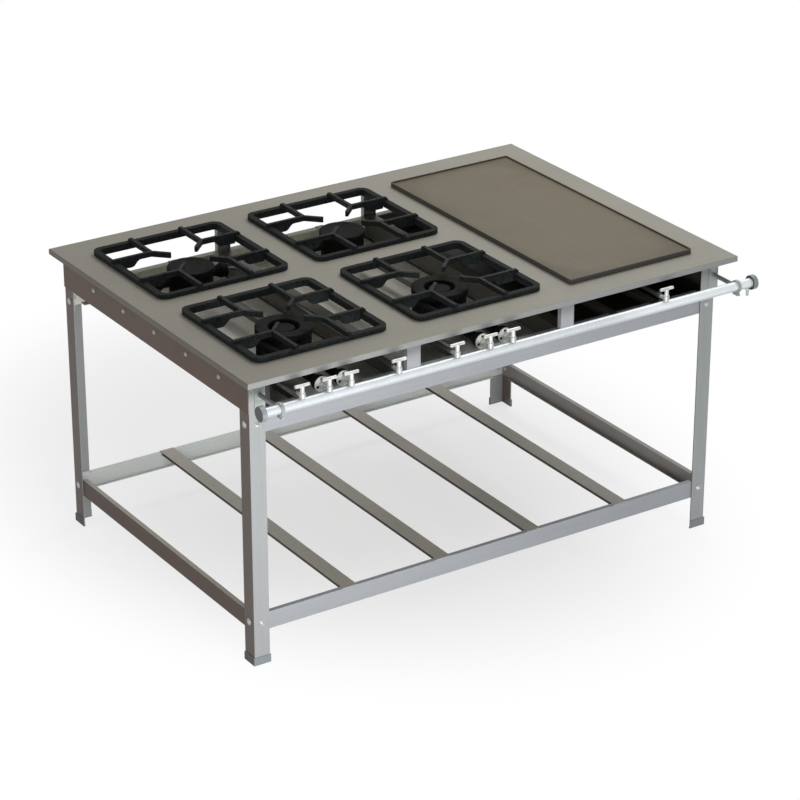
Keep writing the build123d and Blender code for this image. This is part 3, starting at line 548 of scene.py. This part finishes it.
def flat_ring(name: str, sizes: dict[str, float], material: bpy.types.Material) -> ShapeTree:
    """Make a tree that sets a flat ring, such as a washer or a nut, on each point.

    Args:
        name: The tree's name.
        sizes: Radius, Width, Thickness and Corners of the ring.
        material: Its finish.

    Returns:
        The tree, ready to apply.
    """
    tree = ShapeTree(name, sizes)
    path = tree.node("GeometryNodeCurvePrimitiveCircle", {"mode": "RADIUS"},
                     {"Resolution": tree.given("Corners"), "Radius": tree.given("Radius")})
    section = tree.node("GeometryNodeCurvePrimitiveQuadrilateral", {"mode": "RECTANGLE"},
                        {"Width": tree.given("Width"), "Height": tree.given("Thickness")})
    ring = tree.node("GeometryNodeCurveToMesh", None, {"Curve": path, "Profile Curve": section})
    way = tree.node("GeometryNodeInputNamedAttribute", {"data_type": "FLOAT_VECTOR"}, {"Name": "way"})
    turn = tree.node("FunctionNodeAlignRotationToVector", {"axis": "Z"}, {"Vector": way})
    tree.close(ring, material, turn)
    return tree


def round_bead(name: str, radius: float, material: bpy.types.Material) -> ShapeTree:
    """Make a tree that sets a round bead on each point.

    Args:
        name: The tree's name.
        radius: The bead's radius in metres.
        material: Its finish.

    Returns:
        The tree, ready to apply.
    """
    tree = ShapeTree(name, {"Radius": radius})
    drop = tree.node("GeometryNodeMeshIcoSphere", None,
                     {"Radius": tree.given("Radius"), "Subdivisions": 2})
    tree.close(drop, material)
    return tree


def dress(nodes: Sequence[str], finish: Finish) -> None:
    """Give CAD nodes a finish.

    Args:
        nodes: The nodes' names.
        finish: Their finish, which is built once for all of them.
    """
    material = finish.build()
    for name in nodes:
        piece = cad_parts[name]
        piece.data.materials.clear()
        piece.data.materials.append(material)
        log.info("%s: %s", name, material.name)


class TableTop:
    """The folded top plate with its aprons, bearers, bolts and rivets."""

    def build(self) -> None:
        """Dress the top plate and what holds it."""
        # The top's faces that look left carry painted shade, and its front lip carries painted light
        dress(["top_plate"],
              BrushedSteel("top_steel", (0.267, 0.252, 0.210), Grain.ALONG_X, rough=0.50, metal=0.2,
                           stain=0.14, left_shade=0.6, left_shade_colour=(0.125, 0.108, 0.095),
                           front=(0.320, 0.330, 0.330)))
        # The aprons' faces that look left carry painted shade
        dress(["side_apron_left", "side_apron_right"],
              BrushedSteel("apron_steel", (0.30, 0.26, 0.225), Grain.ALONG_Y, rough=0.42, metal=0.2,
                           stain=0.18, left_shade=0.92, left_shade_colour=(0.090, 0.044, 0.026)))
        dress(["side_bearers"], BrushedSteel("bearer_steel", (0.30, 0.29, 0.26), Grain.ALONG_Y))
        dress(["frame_bolts"],
              CastFitting("bright_fastener", (0.56, 0.56, 0.55), rough=0.36, metal=0.5, grit_depth=0.00008))
        dress(["apron_rivets"],
              CastFitting("dull_fastener", (0.40, 0.35, 0.33), rough=0.40, metal=0.4, grit_depth=0.00008))


@dataclass
class Grates:
    """The four cast-iron grates."""

    top: float = 0.820

    def build(self) -> None:
        """Dress the four grates."""
        # The grates' upright faces carry painted light
        dress([f"grate_{row}_{column}" for row in ROWS for column in COLUMNS],
              CastIron("grate_iron", (0.0080, 0.0092, 0.0094), rubbed_above=self.top,
                       upright_light=(0.034, 0.040, 0.039)))


@dataclass
class Griddle:
    """The griddle tray and the burner under it."""

    middle: tuple[float, float] = (0.44625, 0.02125)

    def build(self) -> None:
        """Dress the tray and its burner."""
        dress(["griddle_tray"], SeasonedPlate("griddle_plate", (0.147, 0.124, 0.084), self.middle))
        dress(["griddle_burner"], CastIron("griddle_burner_iron", (0.045, 0.044, 0.042), rust=0.3))


@dataclass
class Legs:
    """The four angle legs, their shoes and the washers under their bolts."""

    bolt_edge: float = 0.0225
    bolt_heights: tuple[float, float] = (0.658, 0.116)
    washer_radius: float = 0.0078
    washer_width: float = 0.0026
    washer_thickness: float = 0.0012
    washer_corners: int = 28

    def bolt_places(self) -> tuple[list[Point], list[Point]]:
        """Work out where the leg bolts stand.

        Returns:
            Their places on the legs' faces and their outward ways.
        """
        places: list[Point] = []
        ways: list[Point] = []
        lift = self.washer_thickness / 2
        for side in (-1, 1):
            for end, corner in ((-1, LEG_FRONT), (1, LEG_BACK)):
                for z in self.bolt_heights:
                    places.append(at(side * (LEG_X - self.bolt_edge), corner + end * lift, z))
                    ways.append((0.0, float(end), 0.0))
                    places.append(at(side * (LEG_X + lift), corner - end * self.bolt_edge, z))
                    ways.append((float(side), 0.0, 0.0))
        return places, ways

    def build(self) -> None:
        """Dress the legs and shoes and add the washers."""
        # The legs' and shoes' faces that look left carry painted shade
        dress([f"leg_{end}_{side}" for end in ("front", "back") for side in ("left", "right")],
              BrushedSteel("leg_steel", (0.368, 0.382, 0.387), Grain.ALONG_Z, rough=0.42, metal=0.15,
                           stain=0.12, left_shade=0.85, left_shade_colour=(0.100, 0.062, 0.046)))
        dress(["leg_shoes"],
              BrushedSteel("shoe_steel", (0.25, 0.28, 0.295), Grain.ALONG_X, rough=0.48, metal=0.2,
                           stain=0.3, left_shade=0.8))
        zinc = CastFitting("washer_zinc", (0.50, 0.51, 0.51), rough=0.40, metal=0.5, grit_depth=0.00005)
        sizes = {"Radius": self.washer_radius, "Width": self.washer_width,
                 "Thickness": self.washer_thickness, "Corners": self.washer_corners}
        places, ways = self.bolt_places()
        tree = flat_ring("washer_tree", sizes, zinc.build())
        tree.apply("leg_washers", places, ways, "frame", "fasteners")


@dataclass
class Frame:
    """The rails, posts, dividers, pans and the lower shelf."""

    slats: int = 4
    slat_half: float = 0.021
    slat_pitch: float = 0.2844
    slat_z: float = 0.140
    rail_web: float = 0.003
    # Each slat's corner carries a row of beads: the first one's gap to the rail, their pitch and count
    bead_radius: float = 0.0016
    bead_gap: float = 0.002
    bead_pitch: float = 0.0012
    beads: int = 9

    def weld_places(self) -> list[Point]:
        """Work out where the weld beads on the slats' ends lie.

        Returns:
            Bead places at the front and back shelf rails.
        """
        places: list[Point] = []
        for slat in range(self.slats):
            middle = (slat - (self.slats - 1) / 2) * self.slat_pitch
            for side in (-1, 1):
                for end, web in ((1, LEG_FRONT + self.rail_web), (-1, LEG_BACK - self.rail_web)):
                    for bead in range(self.beads):
                        y = web + end * (self.bead_gap + bead * self.bead_pitch)
                        places.append(at(middle + side * self.slat_half, y, self.slat_z))
        return places

    def dress_rails(self) -> None:
        """Dress the upper rails and the posts."""
        dress(["upper_rail_front", "shelf_rail_front"],
              BrushedSteel("rail_steel", (0.37, 0.385, 0.41), Grain.ALONG_X, rough=0.40, metal=0.15,
                           stain=0.14))
        # Painted light: the back rail's faces that look forward are lightened
        dress(["upper_rail_back"],
              BrushedSteel("back_rail_steel", (0.37, 0.375, 0.30), Grain.ALONG_X, rough=0.42, metal=0.2,
                           stain=0.2, front=(0.95, 0.96, 0.80)))
        dress(["front_posts", "back_posts"],
              BrushedSteel("post_steel", (0.42, 0.435, 0.455), Grain.ALONG_Z, rough=0.40, metal=0.15,
                           stain=0.12))

    def dress_shelf(self) -> None:
        """Dress the shelf's rails and slats."""
        # Painted light: this rail's steel is much lighter than the other rails' steel
        dress(["shelf_rail_back"],
              BrushedSteel("lit_back_shelf_rail_steel", (0.72, 0.75, 0.73), Grain.ALONG_X, rough=0.42,
                           metal=0.15, stain=0.18))
        # The side rails' and the slats' faces that look left carry painted shade
        dress(["shelf_rail_left"],
              BrushedSteel("side_rail_steel", (0.50, 0.47, 0.40), Grain.ALONG_Y, rough=0.42, metal=0.2,
                           left_shade=0.96, left_shade_colour=(0.068, 0.034, 0.022)))
        dress(["shelf_rail_right"],
              BrushedSteel("bare_rail_steel", (0.31, 0.30, 0.285), Grain.ALONG_Y, rough=0.42, metal=0.2,
                           left_shade=0.3))
        dress(["shelf_slats"],
              BrushedSteel("slat_steel", (0.39, 0.375, 0.325), Grain.ALONG_Y, rough=0.42, metal=0.3,
                           stain=0.2, left_shade=1.0, left_shade_colour=(0.040, 0.026, 0.022)))

    def dress_bays(self) -> None:
        """Dress what lies between the rails under the top."""
        dress(["burner_rails", "dividers"],
              BrushedSteel("bay_steel", (0.165, 0.160, 0.143), Grain.ALONG_Y, rough=0.45, metal=0.6,
                           stain=0.3))
        # The pans' faces that look left, their front part and the parts outside two X values carry painted
        # shade
        dress(["drip_pans"],
              BrushedSteel("pan_steel", (0.92, 0.89, 0.78), Grain.ALONG_Y, rough=0.36, metal=0.25,
                           stain=0.20, left_shade=1.0, left_shade_colour=(0.030, 0.030, 0.026),
                           shaded_before=(-0.24, -0.14), shaded_outside=(-0.6485, 0.235)))

    def build(self) -> None:
        """Dress the frame and add the slats' weld beads."""
        self.dress_rails()
        self.dress_shelf()
        self.dress_bays()
        weld = CastFitting("weld_metal", (0.30, 0.29, 0.28), rough=0.45, metal=0.5, grit_depth=0.0001)
        places = self.weld_places()
        upward = [(0.0, 0.0, 1.0)] * len(places)
        tree = round_bead("weld_tree", self.bead_radius, weld.build())
        tree.apply("slat_welds", places, upward, "frame", "frame_steel")


@dataclass
class Burners:
    """The four burners with their crowns and caps."""

    head_top: float = 0.792

    def build(self) -> None:
        """Dress the burner bodies, crowns and caps."""
        dress([f"burner_{row}_{column}" for row in ROWS for column in COLUMNS],
              CastIron("burner_body_iron", (0.0060, 0.0064, 0.0062), rough=0.75))
        caps = [f"cap_{row}_{column}" for row in ROWS for column in COLUMNS]
        crowns = [f"crown_front_{column}" for column in COLUMNS]
        dress(caps + crowns,
              CastIron("burner_head_iron", (0.0070, 0.0074, 0.0070), rough=0.70,
                       rubbed_above=self.head_top))


@dataclass
class GasTrain:
    """The manifold, its fittings, the taps, shutters and supply pipes."""

    taps: tuple[float, ...] = (-0.619, -0.543, -0.481, -0.344, -0.173, -0.074, -0.006, 0.474)
    shutters: int = 4
    manifold_y: float = -0.560
    tap_top: float = 0.7652
    # The nuts reach down over the taps' tops
    nut_overlap: float = 0.004
    nut_radius: float = 0.0062
    nut_width: float = 0.0036
    nut_thickness: float = 0.0046
    nut_corners: int = 6

    def dress_tube(self) -> None:
        """Dress the manifold and what is fixed to it."""
        # The manifold carries painted light at its right end and painted shade underneath
        dress(["manifold_tube"],
              ZincTube("manifold_paint", (0.71, 0.755, 0.775), rough=0.28, metal=0.25,
                       right=(0.92, 0.97, 0.99)))
        dress(["supply_pipes"], ZincTube("pipe_zinc", (0.085, 0.085, 0.078), rough=0.45, metal=0.45))
        # The caps' faces that look left carry painted shade
        dress(["manifold_caps"],
              CastFitting("grey_green_casting", (0.26, 0.30, 0.30), rough=0.40, metal=0.3,
                          left=(0.060, 0.074, 0.066)))
        dress(["manifold_brackets", "manifold_clamps"],
              CastFitting("bracket_plating", (0.36, 0.39, 0.37), rough=0.42, metal=0.2, grit_depth=0.00005))
        dress(["hose_nozzle"], CastFitting("nozzle_metal", (0.56, 0.57, 0.56), rough=0.35, metal=0.4))

    def dress_controls(self) -> None:
        """Dress the taps, their handles and the air shutters."""
        dress(["tap_bodies"], CastFitting("tap_casting", (0.55, 0.56, 0.54), rough=0.36, metal=0.4))
        dress([f"tap_handle_{number + 1}" for number in range(len(self.taps))],
              CastFitting("tap_handle_plating", (0.66, 0.69, 0.67), rough=0.30, metal=0.35,
                          grit_depth=0.00005))
        dress([f"air_shutter_{number + 1}" for number in range(self.shutters)],
              CastFitting("shutter_metal", (0.56, 0.57, 0.52), rough=0.42, metal=0.3, grit_depth=0.0001))

    def build(self) -> None:
        """Dress the gas fittings and add the packing nuts of the taps."""
        self.dress_tube()
        self.dress_controls()
        plating = CastFitting("nut_plating", (0.66, 0.67, 0.65), rough=0.30, metal=0.5,
                              grit_depth=0.00005)
        sizes = {"Radius": self.nut_radius, "Width": self.nut_width,
                 "Thickness": self.nut_thickness, "Corners": self.nut_corners}
        height = self.tap_top + self.nut_thickness / 2 - self.nut_overlap
        places = [at(x, self.manifold_y, height) for x in self.taps]
        upward = [(0.0, 0.0, 1.0)] * len(places)
        tree = flat_ring("nut_tree", sizes, plating.build())
        tree.apply("packing_nuts", places, upward, "frame", "handle_plating")


@dataclass(frozen=True)
class Lamp:
    """A square soft lamp that hangs at a place and points at another."""

    name: str
    place: Point
    aim: Point
    # The length of its side in metres and its power in watts
    side: float
    power: float

    def build(self) -> None:
        """Hang the lamp."""
        data = bpy.data.lights.new(self.name, "AREA")
        data.shape = "SQUARE"
        data.size = self.side
        data.energy = self.power
        lamp = bpy.data.objects.new(self.name, data)
        bpy.context.scene.collection.objects.link(lamp)
        lamp.location = self.place
        way = Vector(self.aim) - Vector(self.place)
        lamp.rotation_euler = way.to_track_quat("-Z", "Y").to_euler()


@dataclass
class Studio:
    """The white floor, the light and the camera."""

    lamps: tuple[Lamp, ...] = (
        Lamp("key", (-0.85, -2.25, 0.45), (-0.5, -0.4, 0.45), 0.7, 30.5),
        Lamp("overhead", (1.15, 0.55, 2.7), (0.1, 0.15, 0.8), 1.5, 30.8),
    )
    sky_colour: Colour = (0.97, 0.98, 1.0)
    sky_strength: float = 0.32
    # The floor glows white but for an oval round the stove, which keeps the shadows
    floor_half: float = 14.0
    floor_colour: Colour = (0.80, 0.80, 0.80)
    oval_middle: tuple[float, float] = (0.04, 0.46)
    oval_stretch: tuple[float, float] = (1.42, 1.06)
    oval_reach: float = 2.56
    oval_glow: float = 0.62
    # The camera's place, its heading and downward tilt in degrees, and its lens in millimetres
    camera_place: Point = (-3.96900, -6.06909, 3.73058)
    heading: float = -33.13378
    tilt: float = 24.77666
    lens: float = 134.453
    sensor: float = 36.0
    clip_end: float = 60.0

    def backdrop_rays(self, tree: NodeTree) -> Socket:
        """Return 1 for rays from the camera and for rays seen in metal or glass, else 0."""
        camera = tree.node("ShaderNodeLightPath", output="Is Camera Ray")
        glossy = tree.node("ShaderNodeLightPath", output="Is Glossy Ray")
        through = tree.node("ShaderNodeLightPath", output="Is Transmission Ray")
        return camera + glossy + through > 0.5

    def floor_material(self) -> bpy.types.Material:
        """Make the floor's finish, white where nothing shades it.

        Returns:
            The finished material.
        """
        tree = ShaderTree("floor_white")
        seen = self.backdrop_rays(tree)
        matt = tree.node("ShaderNodeBsdfDiffuse", None, {"Color": self.floor_colour}, "BSDF")
        glow = tree.node("ShaderNodeEmission", None, {"Color": WHITE, "Strength": 1.0}, "Emission")
        across = (tree.axis("X") - self.oval_middle[0]) * self.oval_stretch[0]
        along = (tree.axis("Y") - self.oval_middle[1]) * self.oval_stretch[1]
        far = (across * across + along * along).step(0.0, self.oval_reach)
        share = seen * (self.oval_glow + far * (1.0 - self.oval_glow))
        shader = tree.node("ShaderNodeMixShader", None, {0: share, 1: matt, 2: glow})
        tree.node("ShaderNodeOutputMaterial", None, {"Surface": shader})
        return tree.material

    def add_floor(self) -> None:
        """Lay the white floor."""
        mesh = bpy.data.meshes.new("studio_floor")
        half = self.floor_half
        mesh.from_pydata([(-half, -half, 0), (half, -half, 0), (half, half, 0), (-half, half, 0)], [],
                         [(0, 1, 2, 3)])
        mesh.materials.append(self.floor_material())
        floor = bpy.data.objects.new("studio_floor", mesh)
        bpy.context.scene.collection.objects.link(floor)

    def add_world(self) -> None:
        """Surround the stove with plain soft light and a white background."""
        world = bpy.data.worlds.new("studio_world")
        bpy.context.scene.world = world
        world.use_nodes = True
        tree = NodeTree(world.node_tree)
        seen = self.backdrop_rays(tree)
        sky = tree.node("ShaderNodeBackground", None,
                        {"Color": self.sky_colour, "Strength": self.sky_strength})
        white = tree.node("ShaderNodeBackground", None, {"Color": WHITE, "Strength": 1.0})
        shader = tree.node("ShaderNodeMixShader", None, {0: seen, 1: sky, 2: white})
        tree.node("ShaderNodeOutputWorld", None, {"Surface": shader})

    def add_camera(self) -> None:
        """Stand the camera where the photograph was taken from."""
        data = bpy.data.cameras.new("photo_camera")
        data.lens = self.lens
        data.sensor_width = self.sensor
        data.clip_end = self.clip_end
        camera = bpy.data.objects.new("photo_camera", data)
        bpy.context.scene.collection.objects.link(camera)
        camera.location = self.camera_place
        camera.rotation_euler = (math.radians(90.0 - self.tilt), 0.0, math.radians(self.heading))
        bpy.context.scene.camera = camera

    def build(self) -> None:
        """Build the whole studio."""
        self.add_floor()
        self.add_world()
        for lamp in self.lamps:
            lamp.build()
        self.add_camera()
        bpy.context.scene.view_settings.view_transform = "Standard"


def main() -> None:
    """Dress the stove and build the studio."""
    logging.basicConfig(level=logging.INFO, format="%(name)s %(message)s")
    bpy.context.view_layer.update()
    for part in (TableTop(), Grates(), Griddle(), Legs(), Frame(), Burners(), GasTrain(), Studio()):
        part.build()
        log.info("%s built", type(part).__name__)


if __name__ == "__main__":
    main()
